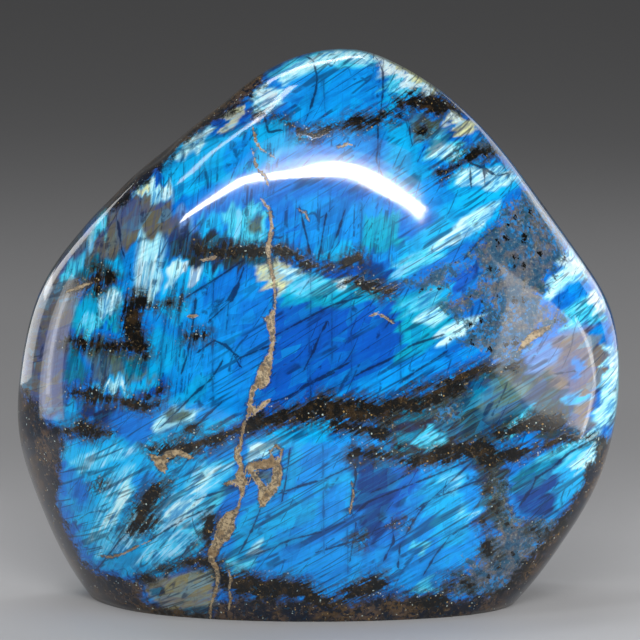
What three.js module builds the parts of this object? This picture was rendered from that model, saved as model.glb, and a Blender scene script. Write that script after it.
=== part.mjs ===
// A polished freeform of labradorite: one natural stone, ground to a few broad soft facets and cut flat
// underneath so that it stands by itself. Millimetres, +Z up. The broad face looks along -Y and leans
// back a little. The origin is at the bottom centre of the stone's box.
import * as THREE from "three";
import { mergeVertices } from "three/addons/utils/BufferGeometryUtils.js";

// The outline seen from the front, as [x, z] points of one smooth closed curve, clockwise from the crown.
// It runs on below zero, where the flat base cuts it off.
const OUTLINE = [
  [6.5, 113.6],
  [14, 112],
  [22.2, 103.4],
  [37.2, 84.7],
  [49.2, 68.3],
  [56.8, 54.8],
  [58.2, 42],
  [54.8, 26.6],
  [47, 12.2],
  [37.6, -1],
  [26, -10],
  [-8, -14],
  [-34, -11],
  [-43.4, -0.5],
  [-51.2, 14.4],
  [-56.6, 30.6],
  [-56.3, 44],
  [-52.2, 61.5],
  [-43, 74.2],
  [-24, 91.4],
  [-8, 104.4],
];
const OUTLINE_STEPS = 240;

// How softly the side wall turns into the facets, measured in the plane of the outline.
const RIM_SOFTNESS = 12;

// The ground facets. Each is a patch of a large sphere: the point it is laid through, the way it faces
// (azimuth 0 is the front and 90 the right side, elevation is upwards, both in degrees), the sphere's
// radius, and how softly it turns into its neighbours.
const FACETS = [
  { name: "face", at: [0, -21, 42], azimuth: 7, elevation: 5, radius: 330, softness: 9 },
  { name: "crown shoulder", at: [2, -17, 94], azimuth: 0, elevation: 32, radius: 90, softness: 7 },
  { name: "left cheek", at: [-56, -17, 42], azimuth: -50, elevation: 4, radius: 90, softness: 7 },
  { name: "right cheek", at: [57, -14, 46], azimuth: 52, elevation: 10, radius: 90, softness: 7 },
  { name: "lower left bevel", at: [-49, -21, 3], azimuth: -45, elevation: -28, radius: 90, softness: 6 },
  { name: "lower right bevel", at: [49, -14, 8], azimuth: 46, elevation: -30, radius: 90, softness: 7 },
  { name: "back", at: [0, 21, 40], azimuth: 184, elevation: 5, radius: 260, softness: 9 },
  { name: "back shoulder", at: [4, 19, 92], azimuth: 176, elevation: 28, radius: 120, softness: 8 },
  { name: "back left bevel", at: [-52, 18, 54], azimuth: 224, elevation: 12, radius: 110, softness: 7 },
  { name: "back right bevel", at: [54, 17, 36], azimuth: 138, elevation: -6, radius: 110, softness: 7 },
];

// Slow waves that hand grinding leaves in the facets: the direction each runs in, and its length, height
// and phase in millimetres and radians.
const WAVES = [
  { run: [1, 0.2, 0.5], length: 41, height: 0.16, phase: 0.4 },
  { run: [-0.5, 0.4, 1], length: 33, height: 0.14, phase: 2.1 },
  { run: [0.7, -0.6, -0.8], length: 23, height: 0.07, phase: 4.0 },
];

// Shallow dents where dark grains have broken out along the rim: place, radius across and depth.
const DENTS = [
  { at: [-29, -5, 87], across: 6, depth: 0.7 },
  { at: [-18, -6, 96], across: 6, depth: 0.8 },
  { at: [-38, -3, 78], across: 5, depth: 0.5 },
  { at: [28, -4, 93], across: 6, depth: 0.7 },
  { at: [55, -6, 30], across: 5, depth: 0.7 },
  { at: [46, -8, 12], across: 6, depth: 0.6 },
  { at: [-54, -8, 24], across: 6, depth: 0.6 },
];

// The heart of the stone, from which its surface is measured, and its rough half sizes.
const HEART = new THREE.Vector3(0, 0, 46);
const HALF_SIZES = new THREE.Vector3(58, 21, 56);

// The mesh is a box of rays from the heart: columns across the broad sides and the narrow ones, and rows
// from the edge of the base up to the box's top.
const BROAD_COLUMNS = 32;
const NARROW_COLUMNS = 12;
const ROWS = 32;

// The furthest that the surface may lie along a ray, in half sizes, and how finely it is searched for.
const FURTHEST = 3;
const HALVINGS = 36;

// A unit vector from an azimuth and an elevation in degrees.
function facing(azimuth, elevation) {
  const a = THREE.MathUtils.degToRad(azimuth);
  const e = THREE.MathUtils.degToRad(elevation);
  return new THREE.Vector3(Math.sin(a) * Math.cos(e), -Math.cos(a) * Math.cos(e), Math.sin(e));
}

// The outline as a closed polygon of [x, z] points.
function outlinePolygon() {
  const points = OUTLINE.map(([x, z]) => new THREE.Vector3(x, 0, z));
  const curve = new THREE.CatmullRomCurve3(points, true, "centripetal");
  return curve.getSpacedPoints(OUTLINE_STEPS).slice(0, OUTLINE_STEPS).map((p) => [p.x, p.z]);
}

// Distance from the outline, negative inside it.
function distanceToOutline(outline, x, z) {
  let nearest = Infinity;
  let inside = false;
  let [ax, az] = outline[outline.length - 1];
  for (const [bx, bz] of outline) {
    const dx = bx - ax;
    const dz = bz - az;
    const along = THREE.MathUtils.clamp(((x - ax) * dx + (z - az) * dz) / (dx * dx + dz * dz), 0, 1);
    nearest = Math.min(nearest, Math.hypot(x - ax - along * dx, z - az - along * dz));
    if (az > z !== bz > z && x < ax + ((z - az) * dx) / dz) inside = !inside;
    ax = bx;
    az = bz;
  }
  return inside ? -nearest : nearest;
}

const outline = outlinePolygon();
const spheres = FACETS.map(({ at, azimuth, elevation, radius, softness }) => ({
  centre: new THREE.Vector3(...at).addScaledVector(facing(azimuth, elevation), -radius),
  radius,
  softness,
}));

// How far the finished surface stands off the facets at p: slow waves, less the dents.
function relief(p) {
  let height = 0;
  for (const wave of WAVES) {
    const along = p.dot(new THREE.Vector3(...wave.run).normalize());
    height += wave.height * Math.sin((2 * Math.PI * along) / wave.length + wave.phase);
  }
  for (const { at, across, depth } of DENTS) {
    const share = 1 - p.distanceTo(new THREE.Vector3(...at)) / across;
    height -= depth * THREE.MathUtils.smoothstep(share, 0, 1);
  }
  return height;
}

// Below zero inside the stone: the side wall and every facet, blended where two of them come close.
function outside(p) {
  const wall = Math.max(distanceToOutline(outline, p.x, p.z) / RIM_SOFTNESS + 1, 0);
  let sum = wall * wall;
  for (const { centre, radius, softness } of spheres) {
    const facet = Math.max((p.distanceTo(centre) - radius) / softness + 1, 0);
    sum += facet * facet;
  }
  return (Math.sqrt(sum) - 1) * RIM_SOFTNESS - relief(p);
}

// Where a ray from a start inside the stone leaves it.
function surfaceAlong(start, ray) {
  let near = 0;
  let far = FURTHEST;
  const p = new THREE.Vector3();
  for (let i = 0; i < HALVINGS; i++) {
    const middle = (near + far) / 2;
    p.copy(start).addScaledVector(ray, middle);
    if (outside(p) < 0) near = middle;
    else far = middle;
  }
  return p;
}

// The box's direction at the angle a across one of its sides and the height w, where 1 is its top edge.
function sideDirection(side, a, w) {
  const across = Math.tan(a);
  const [x, y] = [[across, -1], [1, across], [-across, 1], [-1, -across]][side];
  return new THREE.Vector3(x, y, w);
}

// The point of the base's edge under one column, which lies in the plane z = 0.
function baseEdge(side, a) {
  return surfaceAlong(new THREE.Vector3(), sideDirection(side, a, 0).multiply(HALF_SIZES));
}

// One side of the box, as a grid of surface points from the base's edge to the top edge.
function sideGrid(side, columns) {
  const grid = [];
  for (let i = 0; i <= columns; i++) {
    const a = THREE.MathUtils.lerp(-Math.PI / 4, Math.PI / 4, i / columns);
    const foot = baseEdge(side, a);
    const level = sideDirection(side, a, 0).multiply(HALF_SIZES);
    const lowest = -HEART.z / HALF_SIZES.z / (foot.length() / level.length());
    const column = [foot];
    for (let j = 1; j <= ROWS; j++) {
      const w = Math.tan(THREE.MathUtils.lerp(Math.atan(lowest), Math.PI / 4, j / ROWS));
      column.push(surfaceAlong(HEART, sideDirection(side, a, w).multiply(HALF_SIZES)));
    }
    grid.push(column);
  }
  return grid;
}

// The box's top, as a grid of surface points from left to right and from front to back.
function topGrid() {
  const grid = [];
  for (let i = 0; i <= BROAD_COLUMNS; i++) {
    const x = Math.tan(THREE.MathUtils.lerp(-Math.PI / 4, Math.PI / 4, i / BROAD_COLUMNS));
    const column = [];
    for (let j = 0; j <= NARROW_COLUMNS; j++) {
      const y = Math.tan(THREE.MathUtils.lerp(-Math.PI / 4, Math.PI / 4, j / NARROW_COLUMNS));
      column.push(surfaceAlong(HEART, new THREE.Vector3(x, y, 1).multiply(HALF_SIZES)));
    }
    grid.push(column);
  }
  return grid;
}

// Two triangles for each cell of a grid, seen from outside with its columns to the right and rows upwards.
function gridTriangles(grid) {
  const triangles = [];
  for (let i = 0; i + 1 < grid.length; i++) {
    for (let j = 0; j + 1 < grid[i].length; j++) {
      const [a, b, c, d] = [grid[i][j], grid[i + 1][j], grid[i + 1][j + 1], grid[i][j + 1]];
      triangles.push(a, b, c, a, c, d);
    }
  }
  return triangles;
}

// The flat base: a fan of triangles inside the base's edge.
function baseTriangles(edge) {
  const middle = edge.reduce((sum, p) => sum.add(p), new THREE.Vector3()).divideScalar(edge.length);
  return edge.flatMap((p, i) => [middle, edge[(i + 1) % edge.length], p]);
}

// The whole stone, with its origin moved to the bottom centre of its box.
function stoneGeometry() {
  const columns = [BROAD_COLUMNS, NARROW_COLUMNS, BROAD_COLUMNS, NARROW_COLUMNS];
  const sides = columns.map((count, side) => sideGrid(side, count));
  const edge = sides.flatMap((grid) => grid.slice(0, -1).map((column) => column[0]));
  const triangles = [...sides, topGrid()].flatMap(gridTriangles).concat(baseTriangles(edge));
  const geometry = mergeVertices(new THREE.BufferGeometry().setFromPoints(triangles), 1e-4);
  geometry.computeBoundingBox();
  const middle = geometry.boundingBox.getCenter(new THREE.Vector3());
  geometry.translate(-middle.x, -middle.y, -geometry.boundingBox.min.z);
  geometry.computeVertexNormals();
  return geometry;
}

const labradorite = new THREE.MeshStandardMaterial({ color: "#1b6fb0", roughness: 0.1, metalness: 0.1 });

const stone = new THREE.Mesh(stoneGeometry(), labradorite);
stone.name = "stone";

const model = new THREE.Group();
model.add(stone);

export default model;
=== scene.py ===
import bpy
import numpy as np
from mathutils import Matrix, Vector


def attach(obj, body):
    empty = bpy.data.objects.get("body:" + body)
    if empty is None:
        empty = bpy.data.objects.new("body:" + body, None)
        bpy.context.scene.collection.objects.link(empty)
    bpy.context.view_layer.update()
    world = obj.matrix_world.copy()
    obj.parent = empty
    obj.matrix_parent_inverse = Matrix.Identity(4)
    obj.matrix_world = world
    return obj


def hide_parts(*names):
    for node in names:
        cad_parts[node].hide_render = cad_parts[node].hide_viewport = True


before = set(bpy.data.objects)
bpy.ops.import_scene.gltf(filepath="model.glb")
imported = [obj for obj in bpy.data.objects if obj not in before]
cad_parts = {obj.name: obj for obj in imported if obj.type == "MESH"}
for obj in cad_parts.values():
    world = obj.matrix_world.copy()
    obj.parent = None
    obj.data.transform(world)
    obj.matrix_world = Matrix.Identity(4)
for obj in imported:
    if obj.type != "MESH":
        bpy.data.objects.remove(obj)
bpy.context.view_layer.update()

MM = 0.001

# The camera looks down on the stone a little, from far off with a long lens. AIM is the point of the
# stone, in millimetres, that lies at AIM_PIXEL of the picture.
ELEVATION = np.radians(9.0)
DISTANCE = 900.0
MM_PER_PIXEL = 0.19
PICTURE_WIDTH = 640
AIM = np.array([0.0, 0.0, 54.0])
AIM_PIXEL = np.array([318.3, 324.5])
SENSOR = 36.0
BACKWARD = np.array([0.0, -np.cos(ELEVATION), np.sin(ELEVATION)])
UPWARD = np.array([0.0, np.sin(ELEVATION), np.cos(ELEVATION)])
RIGHTWARD = np.array([1.0, 0.0, 0.0])

# Colours of the stone as they look in even light (sRGB, 0 to 255), and how strongly the fine twin
# streaks show in each.
PALETTE = {
    "midnight": ((0, 22, 62), 0.1),
    "navy": ((0, 50, 116), 0.1),
    "royal": ((0, 84, 188), 0.06),
    "cobalt": ((0, 116, 214), 0.1),
    "azure": ((0, 144, 232), 0.14),
    "cerulean": ((0, 166, 228), 0.22),
    "sky": ((6, 178, 240), 0.45),
    "turquoise": ((0, 168, 200), 0.3),
    "teal": ((4, 108, 132), 0.3),
    "cyan": ((70, 208, 238), 0.7),
    "glow": ((74, 206, 250), 0.8),
    "icy": ((164, 236, 250), 1.0),
    "frost": ((228, 250, 248), 0.9),
    "lavender": ((92, 136, 200), 0.3),
    "cream": ((224, 230, 172), 0.5),
    "sage": ((84, 108, 92), 0.2),
    "pine": ((36, 58, 54), 0.15),
    "olive": ((66, 74, 52), 0.3),
    "drab": ((98, 94, 74), 0.1),
    "moss": ((34, 38, 24), 0.15),
    "slate": ((72, 100, 106), 0.25),
    "smoke": ((92, 88, 84), 0.1),
    "bronze": ((84, 64, 38), 0.15),
    "umber": ((40, 30, 18), 0.1),
    "mustard": ((138, 132, 92), 0.15),
    "taupe": ((116, 100, 82), 0.1),
}

# The flash, and along the crown some painted highlight, painted in this order: a colour, how softly its
# edge fades in pixels, and the corners of its patch in the picture's pixels, x to the right and y
# downwards.
FLASH_AND_HIGHLIGHT_PATCHES = [
    ("royal", 10, [(150, 310), (240, 262), (300, 285), (400, 290), (410, 340), (360, 385), (300, 405),
        (240, 430), (150, 430)]),
    ("azure", 14, [(150, 296), (200, 284), (262, 272), (268, 330), (258, 384), (236, 420), (190, 430),
        (150, 420), (172, 380), (150, 350)]),
    ("azure", 8, [(283, 88), (300, 66), (379, 60), (383, 110), (375, 120), (330, 128), (290, 124)]),
    ("cyan", 5, [(262, 78), (300, 56), (332, 47), (372, 46), (386, 58), (378, 64), (330, 66), (296, 78)]),
    # Along the crown these pale patches are partly real flash and partly painted highlight.
    ("icy", 5, [(340, 50), (372, 46), (400, 58), (386, 62), (352, 58)]),
    ("frost", 5, [(384, 52), (402, 60), (426, 78), (436, 88), (424, 94), (402, 84), (386, 78)]),
    ("cyan", 6, [(385, 74), (404, 84), (420, 94), (404, 98), (386, 92)]),
    ("cerulean", 6, [(384, 90), (402, 98), (398, 110), (384, 116)]),
    ("azure", 8, [(330, 132), (383, 118), (410, 118), (416, 142), (434, 162), (442, 214), (424, 210),
        (396, 188), (376, 170), (330, 150)]),
    ("cerulean", 8, [(384, 124), (408, 122), (420, 150), (430, 176), (410, 190), (388, 170)]),
    ("slate", 5, [(408, 118), (432, 114), (450, 122), (448, 132), (428, 142), (414, 142)]),
    ("olive", 5, [(414, 112), (440, 112), (448, 122), (436, 136), (420, 130)]),
    ("cream", 4, [(447, 112), (462, 110), (480, 127), (466, 135), (454, 128)]),
    ("frost", 3, [(449, 113), (460, 112), (464, 122), (456, 125)]),
    ("cyan", 7, [(430, 140), (446, 134), (460, 144), (456, 162), (440, 166), (428, 156)]),
    ("icy", 5, [(434, 146), (446, 142), (454, 150), (444, 162), (434, 158)]),
    ("sky", 6, [(452, 172), (470, 162), (500, 163), (524, 180), (500, 200), (476, 210), (446, 204)]),
    ("icy", 5, [(458, 172), (474, 166), (496, 168), (516, 180), (490, 192), (462, 190)]),
    ("sky", 7, [(440, 206), (500, 196), (502, 214), (480, 236), (444, 258), (402, 276), (392, 268),
        (396, 250), (424, 228)]),
    ("icy", 5, [(466, 214), (500, 200), (486, 224), (456, 244), (420, 256), (440, 238)]),
    ("cobalt", 5, [(440, 258), (470, 240), (466, 252), (446, 268), (404, 284), (406, 274)]),
    ("cerulean", 6, [(150, 168), (176, 144), (202, 126), (218, 124), (218, 148), (200, 162), (170, 182)]),
    ("icy", 4, [(184, 142), (204, 130), (212, 134), (204, 148), (184, 158), (172, 162)]),
    ("royal", 4, [(204, 120), (216, 115), (218, 131), (206, 136)]),
    ("cream", 3, [(216, 120), (226, 111), (240, 108), (243, 118), (236, 127), (222, 130)]),
    ("icy", 5, [(250, 94), (262, 84), (280, 88), (283, 102), (266, 114), (252, 108)]),
    ("frost", 4, [(256, 92), (270, 88), (276, 98), (262, 106)]),
    ("royal", 4, [(240, 112), (256, 110), (263, 117), (250, 124), (242, 120)]),
    ("cerulean", 8, [(214, 136), (250, 124), (286, 120), (302, 140), (262, 166), (236, 176), (214, 186),
        (198, 186), (188, 176), (196, 160)]),
    ("azure", 6, [(226, 140), (250, 132), (256, 156), (236, 172), (222, 168)]),
    ("sky", 7, [(166, 174), (190, 166), (204, 186), (186, 198), (170, 196)]),
    ("royal", 5, [(148, 168), (160, 160), (166, 172), (156, 180)]),
    ("icy", 4, [(129, 192), (144, 180), (158, 178), (170, 187), (174, 199), (160, 206), (150, 200),
        (136, 197)]),
    ("cream", 4, [(136, 190), (150, 184), (148, 194), (138, 196)]),
    ("olive", 6, [(118, 204), (128, 197), (152, 201), (168, 207), (172, 230), (164, 242), (140, 236),
        (128, 244), (118, 258), (108, 252), (108, 222)]),
    ("slate", 8, [(84, 236), (100, 214), (112, 210), (114, 250), (98, 262), (84, 262), (70, 272)]),
    ("icy", 4, [(88, 232), (98, 226), (104, 236), (92, 248)]),
    ("bronze", 6, [(152, 208), (170, 207), (176, 222), (172, 236), (158, 228)]),
    ("lavender", 6, [(174, 212), (190, 212), (202, 224), (190, 230), (178, 230)]),
    ("olive", 6, [(172, 230), (190, 224), (200, 236), (186, 244), (172, 242)]),
    ("moss", 7, [(168, 238), (198, 234), (238, 244), (268, 244), (268, 258), (240, 264), (200, 266),
        (168, 258)]),
    ("sky", 5, [(197, 222), (208, 215), (221, 218), (222, 234), (204, 236)]),
    ("azure", 6, [(222, 236), (260, 240), (262, 248), (240, 246)]),
    ("cyan", 6, [(222, 213), (246, 204), (268, 206), (272, 226), (264, 240), (240, 244), (226, 236)]),
    ("sage", 6, [(248, 216), (264, 214), (266, 230), (252, 232)]),
    ("azure", 5, [(123, 250), (138, 238), (140, 262), (134, 296), (122, 292)]),
    ("icy", 6, [(138, 236), (160, 232), (166, 242), (163, 264), (160, 290), (146, 300), (133, 296),
        (134, 274)]),
    ("sky", 5, [(163, 263), (214, 262), (224, 270), (206, 285), (186, 290), (170, 300), (162, 298)]),
    ("icy", 4, [(168, 264), (182, 264), (178, 286), (166, 292)]),
    ("frost", 3, [(193, 264), (202, 264), (198, 278), (190, 282)]),
    ("frost", 3, [(182, 266), (188, 266), (184, 280), (179, 282)]),
    ("teal", 7, [(84, 262), (96, 250), (122, 256), (126, 276), (108, 284), (94, 276), (70, 284)]),
    ("sky", 5, [(106, 262), (120, 260), (124, 270), (112, 276)]),
    ("cyan", 5, [(62, 276), (74, 258), (84, 250), (84, 266), (70, 284)]),
    ("turquoise", 6, [(76, 300), (95, 291), (121, 287), (124, 300), (118, 318), (118, 336), (95, 339),
        (77, 333), (69, 325), (71, 310)]),
    ("icy", 5, [(98, 296), (114, 290), (122, 300), (112, 318), (98, 322)]),
    ("cyan", 5, [(78, 322), (96, 318), (104, 328), (92, 336), (78, 332)]),
    ("cobalt", 4, [(86, 334), (108, 330), (120, 336), (104, 342)]),
    ("cobalt", 4, [(138, 308), (150, 308), (152, 320), (140, 322)]),
    ("sky", 6, [(158, 302), (186, 298), (190, 312), (178, 322), (160, 316)]),
    ("teal", 6, [(64, 344), (82, 350), (88, 378), (66, 384)]),
    ("sage", 7, [(86, 348), (142, 352), (166, 350), (164, 376), (130, 380), (92, 378)]),
    ("teal", 6, [(120, 356), (160, 356), (160, 372), (124, 374)]),
    ("sky", 5, [(90, 382), (112, 377), (142, 381), (168, 374), (152, 390), (130, 396), (98, 393)]),
    ("icy", 4, [(96, 384), (120, 380), (130, 388), (110, 392)]),
    ("cobalt", 5, [(64, 382), (88, 380), (92, 392), (66, 400)]),
    ("royal", 4, [(132, 392), (150, 386), (164, 384), (162, 396), (142, 398)]),
    ("cerulean", 9, [(148, 332), (172, 332), (190, 352), (182, 372), (164, 380), (148, 366)]),
    ("azure", 12, [(166, 376), (192, 352), (240, 330), (250, 376), (228, 414), (200, 428), (176, 430)]),
    ("cerulean", 6, [(168, 400), (196, 380), (214, 372), (206, 396), (180, 412)]),
    ("icy", 5, [(158, 420), (176, 406), (200, 411), (196, 420), (176, 430), (160, 441), (154, 432)]),
    ("sage", 4, [(172, 408), (196, 410), (186, 420), (172, 420)]),
    ("cerulean", 6, [(56, 398), (78, 402), (84, 420), (72, 430), (58, 424)]),
    ("midnight", 6, [(80, 404), (122, 411), (120, 424), (100, 424), (84, 418)]),
    ("cobalt", 10, [(118, 412), (146, 410), (150, 426), (142, 446), (124, 442), (106, 438), (104, 428)]),
    ("cerulean", 6, [(150, 436), (186, 420), (226, 416), (240, 420), (206, 440), (170, 446), (140, 456)]),
    ("cobalt", 10, [(240, 300), (268, 298), (272, 340), (262, 372), (240, 404), (236, 350)]),
    ("royal", 12, [(282, 320), (330, 316), (396, 320), (396, 356), (340, 384), (290, 392), (278, 350)]),
    ("cobalt", 8, [(196, 286), (236, 264), (252, 270), (236, 292), (206, 304)]),
    ("cream", 6, [(256, 262), (284, 257), (299, 272), (293, 290), (276, 296), (262, 284)]),
    ("icy", 5, [(280, 268), (296, 268), (298, 284), (284, 292)]),
    ("turquoise", 7, [(282, 292), (320, 276), (352, 282), (386, 286), (382, 297), (350, 302), (320, 308),
        (296, 302), (280, 308)]),
    ("cyan", 5, [(286, 282), (320, 272), (348, 280), (350, 290), (320, 296), (290, 294)]),
    ("frost", 3, [(334, 280), (346, 279), (348, 288), (336, 290)]),
    ("azure", 9, [(275, 205), (302, 196), (360, 202), (396, 210), (400, 252), (380, 262), (346, 260),
        (320, 262), (300, 255), (279, 250)]),
    ("cobalt", 7, [(276, 206), (298, 204), (304, 240), (296, 250), (280, 246)]),
    ("sky", 6, [(318, 244), (334, 236), (352, 244), (352, 258), (326, 262), (314, 258)]),
    ("turquoise", 7, [(364, 214), (398, 212), (402, 240), (380, 256), (362, 250)]),
    ("royal", 6, [(320, 266), (352, 266), (384, 262), (386, 276), (350, 280), (326, 276)]),
    ("navy", 5, [(358, 264), (384, 264), (392, 278), (386, 290), (366, 284), (356, 274)]),
    ("cyan", 7, [(392, 262), (424, 250), (440, 258), (410, 274), (392, 280)]),
    ("turquoise", 8, [(396, 296), (440, 282), (446, 296), (452, 330), (424, 352), (402, 362), (397, 330)]),
    ("icy", 6, [(420, 312), (438, 304), (446, 316), (430, 328), (416, 326)]),
    ("icy", 5, [(440, 330), (462, 318), (480, 318), (466, 334), (440, 346)]),
    ("cyan", 6, [(404, 300), (436, 288), (442, 300), (420, 312), (404, 316)]),
    ("azure", 8, [(360, 386), (400, 362), (436, 352), (446, 362), (420, 380), (390, 392), (366, 398)]),
    ("royal", 5, [(454, 268), (474, 262), (480, 276), (466, 292), (450, 290)]),
    ("sky", 5, [(436, 288), (452, 284), (456, 294), (442, 298)]),
    ("sage", 10, [(458, 388), (500, 370), (544, 384), (552, 404), (528, 424), (500, 440), (468, 436)]),
    ("teal", 7, [(460, 384), (476, 376), (490, 384), (480, 396), (462, 398)]),
    ("slate", 6, [(460, 418), (480, 412), (500, 424), (486, 440), (464, 440)]),
    ("cyan", 4, [(500, 432), (518, 416), (534, 401), (541, 408), (524, 424), (506, 440)]),
    ("cyan", 5, [(394, 448), (418, 450), (422, 458), (398, 456)]),
    ("icy", 5, [(566, 250), (578, 252), (589, 270), (586, 280), (562, 286), (550, 300), (546, 284),
        (562, 268)]),
    ("frost", 3, [(568, 254), (578, 256), (585, 270), (572, 274), (564, 266)]),
    ("cyan", 5, [(562, 312), (590, 291), (604, 300), (606, 320), (590, 327), (568, 330)]),
    ("frost", 4, [(582, 296), (596, 291), (604, 310), (592, 316)]),
    ("lavender", 7, [(520, 362), (545, 345), (584, 322), (593, 328), (562, 350), (556, 368), (536, 374)]),
    ("taupe", 7, [(556, 336), (592, 332), (602, 348), (604, 384), (590, 396), (560, 390), (546, 380),
        (556, 356)]),
    ("taupe", 6, [(562, 410), (590, 406), (594, 428), (578, 436), (564, 426)]),
    ("icy", 5, [(600, 352), (613, 366), (613, 404), (606, 424), (598, 440), (588, 442), (596, 410),
        (604, 384)]),
    ("azure", 8, [(384, 470), (440, 460), (472, 460), (486, 480), (488, 500), (478, 520), (480, 546),
        (464, 562), (450, 578), (432, 597), (396, 590), (384, 570), (398, 545), (400, 500)]),
    ("sky", 7, [(424, 480), (456, 464), (468, 470), (462, 500), (440, 520), (424, 506)]),
    ("glow", 9, [(446, 474), (464, 468), (462, 490), (446, 494)]),
    ("sky", 7, [(432, 510), (466, 506), (476, 520), (462, 546), (440, 540)]),
    ("glow", 9, [(458, 504), (476, 508), (474, 522), (460, 520)]),
    ("cyan", 5, [(416, 540), (428, 538), (428, 554), (418, 556)]),
    ("cyan", 4, [(420, 580), (434, 574), (432, 594), (418, 594)]),
    ("azure", 7, [(510, 476), (534, 460), (572, 452), (602, 438), (600, 462), (590, 482), (575, 502),
        (560, 516), (545, 521), (520, 517), (510, 504)]),
    ("cyan", 6, [(534, 460), (560, 444), (598, 432), (604, 440), (596, 464), (572, 470), (540, 486)]),
    ("sky", 5, [(562, 470), (584, 446), (600, 442), (600, 456), (584, 476), (564, 492)]),
    ("icy", 3, [(580, 454), (598, 438), (603, 446), (590, 464)]),
    ("teal", 5, [(538, 472), (558, 460), (562, 468), (548, 480), (536, 480)]),
    ("cerulean", 8, [(68, 440), (112, 434), (140, 446), (196, 442), (236, 444), (236, 466), (226, 492),
        (210, 516), (206, 546), (190, 562), (164, 577), (130, 577), (100, 567), (82, 542), (66, 506),
        (64, 470)]),
    ("royal", 6, [(64, 474), (82, 474), (84, 492), (70, 500)]),
    ("azure", 7, [(70, 440), (112, 438), (110, 458), (74, 462)]),
    ("icy", 6, [(162, 508), (176, 492), (200, 494), (206, 508), (190, 518), (168, 530), (158, 526)]),
    ("cyan", 7, [(200, 498), (226, 494), (214, 512), (204, 540), (190, 552), (184, 536), (200, 520)]),
    ("azure", 6, [(196, 446), (232, 444), (232, 458), (202, 464)]),
    ("cerulean", 9, [(244, 440), (300, 425), (336, 418), (330, 445), (362, 450), (358, 490), (352, 512),
        (300, 541), (250, 561), (224, 572), (240, 510), (262, 500), (282, 480), (284, 450)]),
    ("sky", 5, [(244, 440), (300, 426), (304, 440), (280, 452), (262, 458), (246, 462)]),
    ("icy", 4, [(246, 446), (270, 442), (276, 450), (256, 460), (248, 458)]),
    ("azure", 7, [(304, 440), (352, 446), (354, 470), (322, 482), (298, 488), (298, 460)]),
    ("azure", 9, [(264, 500), (300, 486), (348, 486), (346, 514), (310, 532), (268, 542), (256, 524)]),
    ("cerulean", 9, [(262, 512), (290, 498), (320, 496), (316, 518), (284, 534), (260, 536)]),
    ("icy", 4, [(246, 548), (256, 542), (260, 552), (248, 560)]),
    ("azure", 7, [(236, 560), (300, 545), (350, 531), (352, 556), (386, 560), (392, 570), (346, 587),
        (326, 600), (304, 576), (270, 577), (236, 574)]),
    ("cyan", 5, [(222, 560), (252, 556), (256, 566), (232, 572)]),
    ("royal", 9, [(354, 445), (402, 455), (416, 475), (406, 520), (386, 546), (360, 524), (354, 500)]),
    ("cobalt", 7, [(362, 520), (400, 512), (402, 544), (384, 556), (362, 548)]),
    ("sky", 6, [(300, 424), (330, 420), (332, 436), (306, 440)]),
    ("azure", 5, [(332, 432), (376, 432), (380, 446), (346, 454), (332, 446)]),
    ("mustard", 6, [(142, 584), (166, 577), (202, 567), (214, 576), (219, 602), (206, 616), (170, 612),
        (148, 603)]),
    ("sage", 5, [(180, 580), (206, 570), (214, 578), (206, 596), (186, 594)]),
    ("navy", 9, [(352, 446), (384, 450), (396, 474), (390, 512), (380, 546), (362, 540), (354, 500)]),
    ("azure", 5, [(358, 552), (384, 550), (396, 566), (384, 580), (364, 578)]),
    ("umber", 8, [(372, 424), (392, 402), (440, 392), (464, 396), (462, 440), (470, 452), (430, 460),
        (396, 456)]),
    ("teal", 6, [(400, 404), (424, 398), (440, 408), (424, 420), (402, 420)]),
    ("cyan", 4, [(418, 430), (440, 428), (450, 440), (438, 450), (420, 446)]),
    ("teal", 5, [(392, 436), (412, 434), (412, 452), (394, 450)]),
    ("pine", 9, [(462, 376), (490, 366), (520, 364), (546, 380), (556, 402), (546, 420), (520, 434),
        (490, 444), (466, 438), (456, 408)]),
    ("sage", 9, [(480, 384), (508, 376), (530, 388), (520, 408), (492, 418), (474, 404)]),
    ("teal", 5, [(464, 386), (480, 378), (488, 390), (474, 402)]),
    ("cyan", 3, [(502, 432), (520, 416), (534, 402), (540, 408), (524, 424), (508, 440)]),
    ("lavender", 6, [(520, 352), (546, 346), (552, 362), (536, 372), (522, 364)]),
    # Painted highlight in part: these frost, cream and icy bands along the crown's top and right shoulder
    # stand partly for gloss and partly for flash.
    ("frost", 5, [(374, 40), (404, 44), (438, 72), (448, 92), (430, 94), (402, 78), (384, 66)]),
    ("cream", 4, [(398, 44), (422, 56), (448, 84), (440, 92), (418, 78), (402, 64)]),
    ("icy", 5, [(280, 74), (302, 62), (330, 50), (376, 44), (384, 54), (340, 60), (304, 74), (286, 84)]),
    ("drab", 7, [(100, 214), (118, 202), (150, 198), (172, 204), (176, 230), (158, 238), (132, 238),
        (120, 256), (104, 262), (90, 258), (94, 232)]),
    ("cyan", 6, [(94, 222), (104, 216), (106, 232), (96, 236)]),
    ("moss", 6, [(170, 236), (196, 233), (236, 241), (272, 243), (274, 257), (250, 264), (200, 267),
        (170, 257)]),
    ("sky", 8, [(64, 446), (112, 440), (146, 452), (196, 450), (200, 466), (176, 490), (150, 520),
        (130, 552), (104, 560), (84, 540), (70, 506)]),
    ("cobalt", 12, [(66, 478), (86, 476), (92, 500), (76, 512)]),
    ("azure", 6, [(126, 478), (150, 470), (160, 480), (140, 500), (124, 502)]),
    ("glow", 6, [(90, 536), (98, 500), (112, 472), (134, 462), (132, 492), (120, 520), (122, 552),
        (100, 558)]),
    ("glow", 6, [(118, 540), (134, 512), (150, 496), (162, 504), (148, 532), (126, 556)]),
    ("glow", 6, [(180, 496), (192, 470), (216, 460), (240, 464), (222, 482), (200, 500)]),
    ("glow", 6, [(156, 514), (174, 492), (204, 492), (214, 510), (194, 522), (168, 538), (154, 534)]),
    ("glow", 6, [(136, 560), (156, 536), (188, 524), (200, 538), (180, 556), (150, 570)]),
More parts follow.
